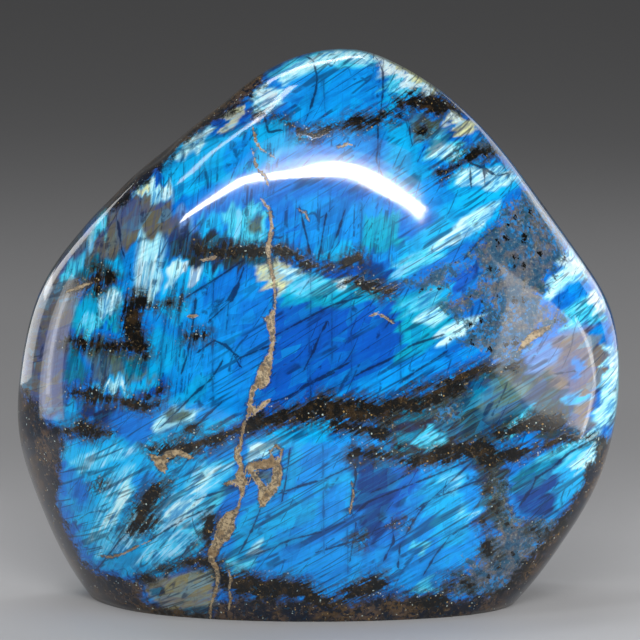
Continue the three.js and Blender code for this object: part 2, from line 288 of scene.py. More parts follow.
    ("glow", 5, [(68, 462), (98, 450), (136, 444), (136, 454), (100, 466), (70, 474)]),
    ("icy", 4, [(104, 530), (110, 504), (122, 482), (130, 476), (126, 496), (116, 522)]),
    ("icy", 4, [(190, 486), (202, 470), (220, 466), (214, 478), (200, 490)]),
    ("icy", 4, [(166, 512), (180, 500), (200, 500), (196, 510), (174, 526)]),
    ("sage", 7, [(160, 588), (180, 578), (206, 572), (212, 584), (196, 598), (168, 602)]),
    ("umber", 5, [(140, 604), (170, 608), (214, 606), (216, 620), (140, 616)]),
    ("moss", 6, [(468, 452), (500, 452), (510, 476), (508, 504), (520, 520), (500, 530), (484, 518),
        (482, 488)]),
    ("taupe", 8, [(540, 342), (586, 328), (602, 346), (596, 392), (584, 436), (566, 416), (538, 384)]),
    ("lavender", 6, [(522, 352), (548, 340), (560, 348), (552, 364), (536, 372)]),
    ("azure", 4, [(570, 358), (580, 358), (582, 376), (574, 382)]),
    ("sky", 5, [(560, 396), (584, 391), (592, 398), (568, 408)]),
    ("icy", 5, [(598, 346), (622, 350), (622, 404), (608, 430), (598, 440), (590, 438), (598, 408),
        (604, 380)]),
    ("smoke", 7, [(60, 276), (77, 282), (74, 310), (68, 344), (65, 380), (66, 412), (46, 418), (30, 404),
        (14, 384), (18, 346), (30, 306), (42, 280), (56, 252), (80, 222), (92, 232), (76, 256)]),
    ("slate", 3, [(256, 470), (270, 468), (274, 476), (268, 486), (262, 482)]),
    ("mustard", 5, [(142, 586), (160, 578), (184, 572), (208, 572), (214, 586), (206, 604), (176, 604),
        (150, 600)]),
    ("umber", 4, [(146, 590), (160, 584), (166, 594), (152, 600)]),
    ("navy", 12, [(512, 486), (532, 466), (560, 456), (566, 480), (566, 510), (544, 520), (520, 514)]),
    ("teal", 5, [(514, 476), (536, 462), (556, 458), (552, 476), (530, 492), (514, 494)]),
    ("cerulean", 6, [(560, 476), (580, 456), (600, 442), (598, 462), (584, 484), (566, 506), (552, 512)]),
    ("icy", 3, [(572, 466), (592, 446), (600, 442), (594, 458), (578, 474)]),
    ("pine", 6, [(540, 372), (556, 386), (572, 414), (580, 436), (552, 440), (530, 430)]),
]

# Grey-brown matrix, full of fine grains, as patches of the picture.
MATRIX = [
    [(472, 252), (492, 228), (506, 205), (530, 188), (550, 210), (567, 236), (566, 250), (548, 280),
        (546, 300), (564, 318), (545, 330), (520, 345), (514, 362), (498, 366), (476, 352), (462, 340),
        (472, 322), (490, 308), (480, 300), (456, 318), (442, 312), (440, 300), (470, 292), (480, 276),
        (474, 262)],
    [(410, 284), (440, 268), (460, 262), (470, 266), (450, 270), (446, 284), (430, 288)],
    [(476, 142), (490, 138), (503, 153), (488, 158), (470, 152)],
    [(486, 540), (494, 520), (488, 500), (484, 484), (494, 474), (508, 476), (508, 500), (520, 519),
        (560, 518), (576, 508), (566, 532), (540, 560), (512, 590), (490, 596), (456, 600), (440, 594),
        (452, 578), (470, 562)],
    [(420, 404), (440, 398), (460, 402), (456, 420), (436, 422)],
    [(460, 384), (470, 376), (462, 400), (452, 396)],
]

# Fractures filled with dark minerals: corner points with half their width, in pixels.
FRACTURES = [
    [(196, 248, 1.5), (215, 252, 2.5), (232, 252, 3.5), (250, 252, 3.5), (264, 250, 3)],
    [(277, 250, 4), (292, 253, 5), (301, 258, 3)],
    [(303, 263, 2.5), (320, 267, 3.5), (335, 265, 3), (350, 261, 4), (357, 256, 4)],
    [(257, 114, 1), (275, 116, 1.2), (290, 123, 1.2), (302, 133, 2), (310, 134, 3.5), (320, 131, 2.5),
        (335, 127, 2), (356, 123, 2.5), (370, 121, 3), (385, 117, 3.5), (397, 115, 2)],
    [(403, 103, 5), (415, 102, 6), (430, 105, 8), (445, 104, 7), (456, 106, 5)],
    [(462, 152, 2), (470, 155, 3), (480, 152, 2), (492, 152, 3)],
    [(440, 174, 2), (448, 170, 2.5), (456, 163, 2), (464, 155, 3)],
    [(346, 281, 2), (360, 284, 4), (374, 290, 5), (391, 291, 4)],
    [(68, 291, 2.5), (80, 287, 3), (90, 282, 3), (101, 278, 7), (113, 276, 5)],
    [(97, 268, 3), (104, 270, 5), (108, 280, 5), (98, 288, 2)],
    [(124, 306, 2), (133, 300, 4), (142, 302, 4), (151, 307, 3), (162, 305, 1.5), (182, 300, 1.2)],
    [(128, 306, 5), (131, 318, 9), (133, 330, 9), (140, 342, 8), (144, 355, 4)],
    [(70, 340, 3), (90, 343, 5), (110, 347, 4), (125, 346, 5), (140, 346, 6)],
    [(76, 392, 3), (88, 394, 6), (100, 397, 4), (118, 400, 4), (130, 404, 4), (148, 407, 3), (160, 404, 3)],
    [(148, 398, 2), (156, 394, 3), (162, 389, 1.5)],
    [(68, 430, 4), (80, 428, 5), (95, 434, 5), (110, 432, 2)],
    [(150, 449, 2), (165, 451, 4), (180, 448, 5), (194, 446, 4), (208, 442, 4), (222, 437, 5),
        (240, 430, 6), (262, 422, 8), (285, 416, 8), (305, 412, 9), (325, 408, 10), (345, 411, 12),
        (365, 412, 13), (385, 410, 11), (402, 402, 8), (420, 408, 5), (440, 392, 7), (455, 388, 6)],
    [(400, 394, 2), (420, 388, 2.5), (440, 384, 2.5), (456, 380, 3), (470, 374, 2), (485, 368, 2),
        (500, 366, 2), (514, 366, 4)],
    [(335, 424, 5), (352, 427, 6), (372, 430, 4), (385, 440, 3), (398, 446, 2)],
    [(354, 455, 3), (375, 452, 4), (392, 457, 3), (410, 462, 4), (430, 459, 6), (450, 452, 6),
        (465, 447, 6), (480, 452, 8), (493, 461, 8), (508, 456, 4), (528, 450, 2), (548, 444, 2),
        (568, 438, 1.5), (590, 438, 1)],
    [(500, 432, 2), (512, 430, 3), (524, 425, 6), (542, 423, 8), (558, 421, 5)],
    [(488, 470, 2), (492, 480, 2), (489, 492, 2), (495, 505, 3.5), (498, 515, 2)],
    [(484, 522, 2), (489, 527, 2)],
    [(487, 545, 2.5), (491, 553, 2)],
    [(534, 530, 2.5), (541, 535, 2)],
    [(460, 582, 4), (470, 584, 3)],
    [(446, 590, 2.5), (452, 585, 3.5), (456, 580, 2)],
    [(163, 570, 2), (180, 564, 3), (200, 561, 5), (212, 563, 6), (226, 580, 6), (240, 584, 7),
        (262, 590, 9), (285, 588, 8), (306, 592, 8), (330, 606, 7), (350, 596, 9), (372, 586, 6),
        (384, 582, 5)],
    [(388, 604, 4), (410, 604, 5), (440, 604, 3)],
    [(145, 579, 3), (153, 579, 3)],
    [(135, 526, 4), (141, 512, 5), (150, 496, 7), (162, 487, 4), (168, 484, 2)],
    [(128, 530, 1.5), (143, 528, 3.5), (152, 520, 3)],
    [(96, 486, 1.5), (104, 482, 2)],
    [(190, 430, 2.5), (194, 431, 2)],
    [(188, 336, 1.5), (196, 337, 2), (202, 336, 1.5)],
    [(422, 133, 1.5), (427, 131, 1)],
    [(398, 526, 2.2), (405, 525, 1)],
    [(357, 542, 2), (361, 540, 1.5)],
    [(210, 520, 3), (208, 534, 4), (207, 548, 3)],
]

# Dark ground rims with no flash, as patches of the picture.
RIMS = [
    [(10, 392), (22, 388), (36, 402), (44, 420), (58, 428), (66, 442), (62, 470), (60, 502), (72, 536),
        (82, 560), (100, 572), (140, 580), (150, 602), (210, 614), (216, 600), (240, 596), (330, 602),
        (400, 594), (470, 597), (500, 588), (516, 570), (538, 543), (556, 522), (574, 496), (588, 466),
        (600, 436), (620, 436), (612, 480), (560, 575), (530, 612), (480, 630), (100, 640), (20, 520)],
    [(90, 204), (130, 164), (170, 126), (215, 93), (262, 64), (269, 85), (248, 101), (219, 121), (182, 149),
        (156, 173), (131, 196), (114, 210)],
    [(432, 84), (444, 90), (462, 108), (460, 114), (448, 104), (438, 94)],
]

# Tan veins: corner points with half their width, in pixels.
VEINS = [
    [(253, 128, 0.7), (256, 142, 1.1), (262, 150, 0.9), (274, 157, 0.7)],
    [(252, 150, 0.7), (257, 168, 0.9), (265, 176, 1.2), (268, 184, 0.7)],
    [(262, 200, 0.8), (268, 207, 1.2), (271, 216, 1.4), (272, 228, 1.4), (270, 238, 2.2), (268, 250, 2.6),
        (269, 258, 1.2), (271, 270, 1.6), (274, 282, 1.8), (275, 294, 0.8), (275, 307, 0.9),
        (272, 316, 3.2), (271, 325, 4.2), (272, 334, 3.2), (273, 342, 1.8), (271, 352, 2.2),
        (268, 362, 4.4), (264, 372, 6.6), (263, 380, 7)],
    [(264, 318, 0.5), (271, 321, 4)],
    [(258, 383, 2.6), (253, 390, 3), (251, 400, 2), (249, 412, 1.5), (244, 425, 1.3), (241, 440, 1.3),
        (240, 450, 1.5)],
    [(269, 400, 1.8), (262, 406, 2.6), (256, 411, 1.5)],
    [(250, 404, 3), (254, 412, 2)],
    [(237, 450, 2.4), (238, 458, 3.6), (241, 467, 2)],
    [(241, 467, 1.6), (240, 475, 4.6), (241, 483, 5), (243, 491, 2.2), (240, 500, 1), (238, 509, 1.5)],
    [(240, 480, 4), (226, 484, 1)],
    [(240, 480, 3), (248, 482, 0.8)],
    [(247, 467, 1.6), (256, 465, 4), (266, 464, 5), (276, 463, 4)],
    [(276, 463, 4), (278, 472, 5), (276, 482, 4.8), (270, 492, 4.6), (263, 502, 4.4)],
    [(249, 468, 2.4), (255, 477, 3), (262, 487, 3.4), (263, 500, 4.4)],
    [(273, 460, 1.4), (270, 452, 0.9), (276, 445, 0.8), (282, 450, 1), (280, 460, 1.4)],
    [(238, 509, 1.5), (230, 517, 6), (226, 526, 9), (223, 534, 8), (217, 543, 5), (213, 552, 5),
        (211, 559, 2.6), (216, 567, 2.4), (218, 575, 2)],
    [(218, 575, 2), (217, 586, 1.6), (214, 596, 1.5), (211, 605, 1.1), (210, 617, 1.1)],
    [(229, 572, 1), (231, 580, 1.1), (229, 590, 1), (231, 598, 1.2), (229, 608, 1)],
    [(153, 457, 2.5), (160, 462, 6), (163, 468, 4)],
    [(168, 455, 4), (178, 452, 3), (190, 457, 2)],
    [(102, 556, 0.9), (112, 557, 1.2), (125, 553, 0.9), (140, 545, 0.8), (150, 541, 0.6)],
    [(519, 350, 1.5), (524, 343, 3), (533, 336, 4), (542, 331, 3), (550, 326, 1)],
    [(372, 315, 1), (378, 313, 1.4), (386, 318, 0.8), (392, 322, 1.2)],
    [(300, 210, 0.6), (305, 212, 0.9), (308, 219, 0.6)],
    [(352, 484, 0.5), (354, 495, 0.7), (350, 511, 0.8)],
    [(190, 316, 1.6), (196, 316, 1.2)],
    [(203, 260, 1.2), (209, 259, 1.6), (215, 257, 1.2)],
    [(339, 147, 0.8), (348, 144, 1.4), (352, 145, 0.7)],
    [(68, 291, 1.2), (80, 287, 1.6), (91, 283, 1.4)],
]

# Edges of twin planes, which look like faint upright lines, as lines of the picture.
TWIN_LINES = [
    [(310, 272), (311, 300), (309, 340), (311, 402)],
    [(332, 278), (332, 362)],
    [(351, 291), (352, 396)],
    [(400, 322), (401, 382)],
    [(323, 446), (324, 552)],
    [(347, 512), (348, 572)],
    [(323, 76), (325, 110)],
    [(212, 272), (213, 400)],
    [(169, 300), (163, 340), (160, 380)],
    [(181, 290), (178, 330), (176, 364)],
    [(140, 262), (136, 300)],
    [(152, 262), (142, 300)],
    [(165, 236), (166, 262)],
    [(362, 205), (361, 250)],
]

# Fine dark cracks, as lines of the picture.
CRACKS = [
    [(355, 454), (356, 478), (351, 500), (352, 514), (356, 524), (350, 560)],
    [(303, 55), (313, 60), (317, 75), (316, 90), (311, 106), (305, 122)],
    [(378, 58), (383, 72), (383, 93), (380, 116)],
    [(378, 120), (378, 150), (376, 160), (381, 172), (386, 186)],
    [(276, 335), (300, 322), (332, 305), (362, 296)],
    [(272, 402), (290, 396), (304, 387), (334, 373)],
    [(310, 400), (346, 381), (366, 370), (388, 360), (412, 345), (442, 335)],
    [(300, 388), (330, 372), (350, 362)],
    [(400, 382), (424, 366), (446, 352)],
    [(241, 560), (270, 549), (292, 539), (322, 532), (347, 521), (368, 502), (407, 486), (440, 473),
        (470, 460)],
    [(280, 493), (300, 486), (322, 480), (350, 467)],
    [(327, 322), (320, 335), (314, 350), (304, 370)],
    [(472, 462), (448, 484), (428, 502), (418, 514), (408, 530), (400, 546), (398, 566)],
    [(484, 478), (455, 490), (430, 500), (400, 520), (376, 530), (350, 542), (318, 552)],
    [(476, 520), (450, 536), (436, 554), (424, 574)],
    [(392, 520), (394, 540), (384, 560)],
    [(415, 470), (390, 484), (372, 492)],
    [(182, 300), (206, 285), (232, 268), (246, 258)],
    [(198, 352), (214, 340), (226, 346), (240, 358)],
    [(240, 358), (258, 350), (275, 344)],
    [(226, 344), (232, 352), (240, 366)],
    [(196, 300), (192, 330), (188, 352), (182, 372)],
    [(160, 428), (190, 398), (212, 378), (222, 362)],
    [(182, 440), (204, 418), (222, 402)],
    [(240, 282), (232, 300), (210, 320)],
    [(244, 268), (238, 284), (228, 300), (216, 306)],
    [(326, 215), (322, 240), (318, 262)],
    [(345, 210), (338, 232), (328, 258)],
    [(300, 208), (304, 226), (310, 252)],
    [(536, 211), (516, 224), (496, 228), (480, 240), (465, 258)],
    [(470, 163), (486, 169), (497, 176), (512, 172)],
    [(470, 165), (471, 186)],
    [(484, 166), (485, 186)],
    [(408, 120), (412, 144)],
    [(534, 290), (552, 282)],
    [(556, 374), (574, 371)],
    [(520, 505), (532, 488), (536, 478), (552, 468), (570, 452), (596, 438)],
    [(100, 566), (120, 540), (150, 512), (172, 494)],
    [(166, 576), (188, 548), (210, 528), (236, 512)],
    [(260, 510), (252, 530), (240, 552)],
    [(290, 450), (286, 480), (282, 500)],
    [(196, 500), (236, 486), (280, 462)],
    [(150, 540), (186, 518), (214, 506)],
    [(118, 222), (122, 250), (126, 262)],
    [(265, 118), (268, 132), (282, 130)],
]

# Where the streaks stand steep, and where they fan out, as patches of the picture with their softness.
STEEP = [
    (22, [(60, 190), (300, 120), (262, 200), (262, 262), (240, 320), (190, 400), (60, 420)]),
    (14, [(276, 196), (400, 196), (396, 262), (276, 258)]),
]
FAN = (16, [(56, 430), (150, 440), (240, 436), (244, 470), (226, 560), (150, 590), (60, 560)])

# How the front's pattern drifts in the picture's pixels on its way through to the back of the stone.
BACK_SHIFT = np.array([64.0, -46.0])
BACK_WARP = 46.0

# How far the matrix spreads towards the back of the stone, in pixels.
BACK_MATRIX = 34

# The streaks' angles above the horizon, in degrees: over most of the stone, where they stand steep, and,
# roughly, in the fan. Seen from above, their planes are turned a few degrees more.
GENTLE_ANGLE = 28
STEEP_ANGLE = 78
FAN_ANGLE = 46
STREAK_TURN = 7

# The angle of the fan's own streaks above the horizon, in degrees, at places across the picture, and how
# much closer together its lines are across the streaks than upwards.
FAN_ANGLES = [(40, 84), (72, 80), (95, 68), (120, 57), (150, 47), (190, 39), (240, 33), (320, 28)]
FAN_CLOSENESS = 0.6

# The streaks that draw out the edges of the patches: how long and wide they are in pixels, and how deep
# they reach in millimetres. Then how far they draw an edge out, and how ragged it is besides, in pixels.
BRUSH = (46, 5.5, 6)
DRAWN_OUT = 10
RAGGED = 1.8

# How deep the polish is pitted on the veins and fractures, in millimetres.
PIT_DEPTH = 0.2


def linear(rgb):
    """An sRGB colour from 0 to 255 as linear numbers."""
    c = np.asarray(rgb, float) / 255
    return np.where(c <= 0.04045, c / 12.92, ((c + 0.055) / 1.055) ** 2.4)


def ramp(low, high, x):
    """A smooth step from 0 at low to 1 at high."""
    t = np.clip((x - low) / (high - low), 0, 1)
    return t * t * (3 - 2 * t)


def hashed(cell, seed):
    """A number from 0 to 1 for each lattice cell, always the same one."""
    c = cell.astype(np.int64)
    n = c[..., 0] * 73856093 ^ c[..., 1] * 19349663 ^ c[..., 2] * 83492791 ^ seed * 2654435761
    n = (n ^ (n >> 13)) * 1274126177 & 0x7FFFFFFF
    n = (n ^ (n >> 16)) * 668265263 & 0x7FFFFFFF
    return (n & 0xFFFF) / 0xFFFF


def noise(points, size, seed):
    """Smooth noise from -1 to 1 over millimetre points, with lumps of the given size."""
    q = points / size
    cell = np.floor(q)
    f = q - cell
    f = f * f * (3 - 2 * f)
    total = 0
    for dx in (0, 1):
        for dy in (0, 1):
            for dz in (0, 1):
                weight = (np.abs(1 - dx - f[:, 0]) * np.abs(1 - dy - f[:, 1]) * np.abs(1 - dz - f[:, 2]))
                total = total + weight * hashed(cell + np.array([dx, dy, dz]), seed)
    return total * 2 - 1


def layered(points, size, seed, layers=3):
    """Noise with finer noise laid over it."""
    return sum(noise(points, size / 2 ** i, seed + i) / 2 ** i for i in range(layers)) / 1.6


# The fine mesh of the stone: how many steps of subdivision its front gets, how near to zero the flat base
# lies in millimetres, and how squarely a triangle faces the camera in front, where 1 is straight at it.
FINE_LEVELS = 3
FLAT = 0.02
FACING = 0.44


def welded(obj):
    """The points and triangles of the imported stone, in millimetres, with shared corners merged."""
    mesh = obj.data
    points = np.empty(len(mesh.vertices) * 3)
    mesh.vertices.foreach_get("co", points)
    points = points.reshape(-1, 3) / MM
    mesh.calc_loop_triangles()
    corners = np.empty(len(mesh.loop_triangles) * 3, np.int64)
    mesh.loop_triangles.foreach_get("vertices", corners)
    _, first, place = np.unique(np.round(points * 1000).astype(np.int64), axis=0, return_index=True,
                                return_inverse=True)
    triangles = place.ravel()[corners].reshape(-1, 3)
    return points[first], triangles


def edges_of(triangles):
    """The unique edges, and for each triangle the numbers of its three edges."""
    pairs = np.concatenate([triangles[:, [0, 1]], triangles[:, [1, 2]], triangles[:, [2, 0]]])
    edges, number = np.unique(np.sort(pairs, axis=1), axis=0, return_inverse=True)
    return edges, number.ravel().reshape(3, -1).T


def subdivided(points, triangles, base):
    """One step of Loop subdivision, with the edge of the flat base kept sharp."""
    edges, number = edges_of(triangles)
    count = len(points)
    flat = np.bincount(number.ravel(), np.repeat(base, 3), len(edges))
    sharp = flat == 1
    opposite = np.zeros((len(edges), 3))
    np.add.at(opposite, number.T.ravel(), points[triangles[:, [2, 0, 1]].T.ravel()])
    ends = points[edges[:, 0]] + points[edges[:, 1]]
    middles = np.where(sharp[:, None], ends / 2, 0.375 * ends + 0.125 * opposite)
    valence = np.bincount(edges.ravel(), minlength=count)
    around = np.zeros((count, 3))
    np.add.at(around, edges[:, 0], points[edges[:, 1]])
    np.add.at(around, edges[:, 1], points[edges[:, 0]])
    share = np.where(valence == 3, 3 / 16, 3 / (8 * valence))[:, None]
    moved = points * (1 - valence[:, None] * share) + share * around
    along = np.zeros((count, 3))
    np.add.at(along, edges[sharp, 0], points[edges[sharp, 1]])
    np.add.at(along, edges[sharp, 1], points[edges[sharp, 0]])
    rim = np.bincount(edges[sharp].ravel(), minlength=count) == 2
    moved[rim] = 0.75 * points[rim] + 0.125 * along[rim]
    a, b, c = triangles.T
    ab, bc, ca = (count + number).T
    finer = np.stack([np.stack(t, 1) for t in ((a, ab, ca), (b, bc, ab), (c, ca, bc), (ab, bc, ca))], 1)
    lookup = dict(zip(map(tuple, edges.tolist()), range(count, count + len(edges))))
    return np.vstack([moved, middles]), finer.reshape(-1, 3), np.repeat(base, 4), lookup


def normals_of(points, triangles):
    """A unit normal for each point."""
    a, b, c = (points[triangles[:, i]] for i in range(3))
    faces = np.cross(b - a, c - a)
    normals = np.zeros_like(points)
    for i in range(3):
        np.add.at(normals, triangles[:, i], faces)
    return normals / np.maximum(np.linalg.norm(normals, axis=1, keepdims=True), 1e-12)


def fine_mesh(obj):
    """The stone's surface, very fine where it faces the camera and coarser elsewhere."""
    points, triangles = welded(obj)
    base = (points[triangles][:, :, 2] < FLAT).all(1)
    towards = normals_of(points, triangles) @ BACKWARD
    near = (towards[triangles].mean(1) > FACING) & ~base
    levels, lookups = [triangles], []
    for _ in range(FINE_LEVELS):
        points, finer, base, lookup = subdivided(points, levels[-1], base)
        levels.append(finer)
        lookups.append(lookup)
    inner = levels[3].reshape(len(near), -1, 3)[near].reshape(-1, 3)
    outer = levels[1].reshape(len(near), -1, 3)[~near].reshape(-1, 3)
    bordering = levels[1].reshape(len(near), -1, 3)[near].reshape(-1, 3)
    split = set(map(tuple, edges_of(bordering)[0].tolist()))
    plain, fans, extra = [], [], []
    for a, b, c in outer.tolist():
        sides = ((a, b), (b, c), (c, a))
        if not any(tuple(sorted(side)) in split for side in sides):
            plain.append((a, b, c))
            continue
        ring, halves = [], []
        for p, q in sides:
            half = lookups[1][tuple(sorted((p, q)))]
            halves.append(half)
            ring.append(p)
            if tuple(sorted((p, q))) in split:
                ring += [lookups[2][tuple(sorted((p, half)))], half, lookups[2][tuple(sorted((half, q)))]]
        centre = len(points) + len(extra)
        extra.append(points[halves].mean(0))
        fans += [(centre, p, q) for p, q in zip(ring, ring[1:] + ring[:1])]
    points = np.vstack([points, extra])
    triangles = np.vstack([inner, plain, fans])
    used, triangles = np.unique(triangles, return_inverse=True)
    return points[used], triangles.reshape(-1, 3)


# The pattern.


def picture(points):
    """Where millimetre points show in the picture, in pixels."""
    offset = points - AIM
    scale = DISTANCE / (DISTANCE - offset @ BACKWARD) / MM_PER_PIXEL
    return np.stack([AIM_PIXEL[0] + offset @ RIGHTWARD * scale, AIM_PIXEL[1] - offset @ UPWARD * scale], 1)


def along_segment(p, a, b):
    """For each place: how far along a segment it is, its distance, and which side it is on."""
    d = b - a
    t = np.clip((p - a) @ d / (d @ d), 0, 1)
    off = p - a - t[:, None] * d
    distance = np.hypot(off[:, 0], off[:, 1])
    return t, distance, np.where(d[0] * (p[:, 1] - a[1]) - d[1] * (p[:, 0] - a[0]) < 0, -1.0, 1.0)


def from_patch(p, corners):
    """Signed distance in pixels from a patch's edge, negative inside it."""
    corners = np.array(corners, float)
    nearest = np.full(len(p), 1e9)
    inside = np.zeros(len(p), bool)
    for a, b in zip(corners, np.roll(corners, -1, 0)):
        nearest = np.minimum(nearest, along_segment(p, a, b)[1])
        crosses = (a[1] > p[:, 1]) != (b[1] > p[:, 1])
        with np.errstate(divide="ignore", invalid="ignore"):
            inside ^= crosses & (p[:, 0] < a[0] + (p[:, 1] - a[1]) * (b[0] - a[0]) / (b[1] - a[1]))
    return np.where(inside, -nearest, nearest)


def from_lines(p, lines, width=1.0):
    """For the line whose edge is nearest: the distance with its side as its sign, and half the width."""
    best = np.full(len(p), 1e9)
    side = np.full(len(p), 1e3)
    half = np.zeros(len(p))
    for line in lines:
        for a, b in zip(line, line[1:]):
            wa, wb = (a[2], b[2]) if len(a) == 3 else (width, width)
            t, distance, sign = along_segment(p, np.array(a[:2], float), np.array(b[:2], float))
            here = wa + (wb - wa) * t
            nearer = distance - here < best
            best = np.where(nearer, distance - here, best)
            side = np.where(nearer, distance * sign, side)
            half = np.where(nearer, here, half)
    return side, half


def brushed(p, depth, degrees, seed):
    """How far the flash is drawn out along streaks of one direction, in pixels at each place."""
    a = np.radians(degrees)
    run = np.array([np.cos(a), -np.sin(a)])
    q = np.stack([p @ run, p @ np.array([np.sin(a), np.cos(a)]), depth], 1) / BRUSH
    drawn = noise(q, 1, seed) + 0.6 * noise(q * 1.9, 1, seed + 1)
    return drawn[:, None] * run


def dullness(points, normals):
    """How dull the stone is at each point: its sides are, and its back where that turns away."""
    turned = np.abs(normals[:, 1])
    sideways = ramp(0.98, 0.8, turned) * ramp(-4, 3, points[:, 1]) * ramp(0.75, 0.45, normals[:, 2])
    sideways = np.maximum(sideways, ramp(0.4, 0.18, turned))
    return sideways * (0.62 + 0.36 * ramp(-0.3, 0.3, layered(points, 17, 51)))


def pattern(points, normals):
    """The stone's pattern at every point: colours and distances that its material reads."""
    through = ramp(-2, 20, points[:, 1])
    warp = np.stack([noise(points, 19, 11), noise(points, 19, 12)], 1)
    drift = through[:, None] * (BACK_SHIFT + BACK_WARP * warp)
    p = picture(points) + drift
    steep = np.max([ramp(soft, -soft, from_patch(p, corners)) for soft, corners in STEEP], axis=0)
    fan = ramp(FAN[0], -FAN[0], from_patch(p, FAN[1]))
    wobble = np.stack([noise(points, 1.6, 21), noise(points, 1.6, 22)], 1)
    depth = points[:, 1]
    gentle = brushed(p, depth, GENTLE_ANGLE, 41)
    drawn = gentle + (brushed(p, depth, STEEP_ANGLE, 43) - gentle) * steep[:, None]
    drawn += (brushed(p, depth, FAN_ANGLE, 45) - drawn) * fan[:, None]
    ragged = p + RAGGED * wobble + DRAWN_OUT * drawn
    colour = np.tile(linear(PALETTE["cobalt"][0]), (len(p), 1))
    streaks = np.full(len(p), 0.2)
    for name, softness, corners in FLASH_AND_HIGHLIGHT_PATCHES:
        rgb, contrast = PALETTE[name]
        cover = ramp(softness / 2, -softness / 2, from_patch(ragged, corners))
        colour += (linear(rgb) - colour) * cover[:, None]
        streaks += (contrast - streaks) * cover
    dull = dullness(points, normals)
    browner = ramp(-0.2, 0.3, layered(points, 9, 61))[:, None]
    plain = linear(PALETTE["pine"][0]) * (1 - browner) + linear(PALETTE["olive"][0]) * browner
    colour += (plain - colour) * dull[:, None]
    streaks += (0.3 - streaks) * dull
    matrix = np.min([from_patch(p, corners) for corners in MATRIX], axis=0)
    rim = np.min([from_patch(p, corners) for corners in RIMS], axis=0)
    fracture, fracture_half = from_lines(p, FRACTURES)
    vein, vein_half = from_lines(p, VEINS)
    faint = [[(x, y, 0.3) for x, y in line] for line in TWIN_LINES]
    crack, crack_half = from_lines(p, CRACKS + faint, 0.55)
    matrix -= BACK_MATRIX * through ** 2 * ramp(-0.1, 0.5, layered(points, 26, 31))
    return {
        "flash": np.hstack([colour, streaks[:, None]]),
        "zones": np.stack([matrix, np.abs(fracture) - fracture_half, rim], 1),
        "vein": np.stack([vein, np.abs(vein), vein_half], 1),
        "crack": np.stack([crack, np.abs(crack), crack_half], 1),
        "twins": np.stack([steep * (1 - fan), fan, fan_lines(p)], 1),
        "dull": np.repeat(dull[:, None], 3, 1),
    }


def fan_lines(p):
    """A number that is the same all along each streak of the fan, in pixels across the streaks."""
    x = np.arange(-400.0, 1100.0)
    slope = np.tan(np.radians(np.interp(x, *zip(*FAN_ANGLES))))
    rise = np.concatenate([[0], np.cumsum(slope[1:])])
    return (-p[:, 1] - np.interp(p[:, 0], x, rise)) * FAN_CLOSENESS


# The material.


def rgba(rgb):
    """An sRGB colour from 0 to 255 for a shader socket."""
    return (*linear(rgb), 1.0)


class Nodes:
    """Short calls for building a node material."""

    def __init__(self, name):
        self.material = bpy.data.materials.new(name)
        self.material.use_nodes = True
        self.tree = self.material.node_tree
        self.shader = self.tree.nodes["Principled BSDF"]

    def put(self, socket, value):
        """Link a socket to another one, or give it a fixed value."""
        if isinstance(value, bpy.types.NodeSocket):
            self.tree.links.new(value, socket)
        else:
            socket.default_value = value

    def attribute(self, name):
        node = self.tree.nodes.new("ShaderNodeAttribute")
        node.attribute_name = name
        return node.outputs

    def split(self, vector):
        node = self.tree.nodes.new("ShaderNodeSeparateXYZ")
        self.put(node.inputs[0], vector)
        return node.outputs

    def math(self, operation, *values, clamp=False):
        node = self.tree.nodes.new("ShaderNodeMath")
        node.operation = operation
        node.use_clamp = clamp
        for socket, value in zip(node.inputs, values):
            self.put(socket, value)
        return node.outputs[0]

    def plus(self, a, b):
        return self.math("ADD", a, b)

    def minus(self, a, b):
        return self.math("SUBTRACT", a, b)

    def most(self, a, b):
        return self.math("MAXIMUM", a, b)

    def times(self, product, *factors):
        for factor in factors:
            product = self.math("MULTIPLY", product, factor)
        return product

    def between(self, a, b, share):
        """From a to b as the share goes from 0 to 1."""
        return self.plus(a, self.times(self.minus(b, a), share))

    def swing(self, value, size):
        """How far a noise is off its middle, times a size."""
        return self.times(self.minus(value, 0.5), size)

    def step(self, value, low, high):
        """A smooth step from 0 at low to 1 at high."""
        node = self.tree.nodes.new("ShaderNodeMapRange")
        node.interpolation_type = "SMOOTHSTEP"
        self.put(node.inputs["Value"], value)
        self.put(node.inputs["From Min"], low)
        self.put(node.inputs["From Max"], high)
        return node.outputs["Result"]

    def mix(self, factor, under, over):
        """One colour laid over another. Each is a socket or an sRGB colour."""
        node = self.tree.nodes.new("ShaderNodeMix")
        node.data_type = "RGBA"
        self.put(node.inputs[0], factor)
        for socket, colour in ((node.inputs[6], under), (node.inputs[7], over)):
            self.put(socket, rgba(colour) if isinstance(colour, tuple) else colour)
        return node.outputs[2]

    def noise(self, vector, scale, detail=2.0, roughness=0.5, distortion=0.0):
        node = self.tree.nodes.new("ShaderNodeTexNoise")
        self.put(node.inputs["Vector"], vector)
        self.put(node.inputs["Scale"], scale)
        self.put(node.inputs["Detail"], detail)
        self.put(node.inputs["Roughness"], roughness)
        self.put(node.inputs["Distortion"], distortion)
        return node.outputs["Fac"]

    def grains(self, vector, scale):
        """Random cells: the distance from a cell's middle, and three random numbers for the cell."""
        node = self.tree.nodes.new("ShaderNodeTexVoronoi")
        self.put(node.inputs["Vector"], vector)
        self.put(node.inputs["Scale"], scale)
        return node.outputs["Distance"], self.split(node.outputs["Color"])


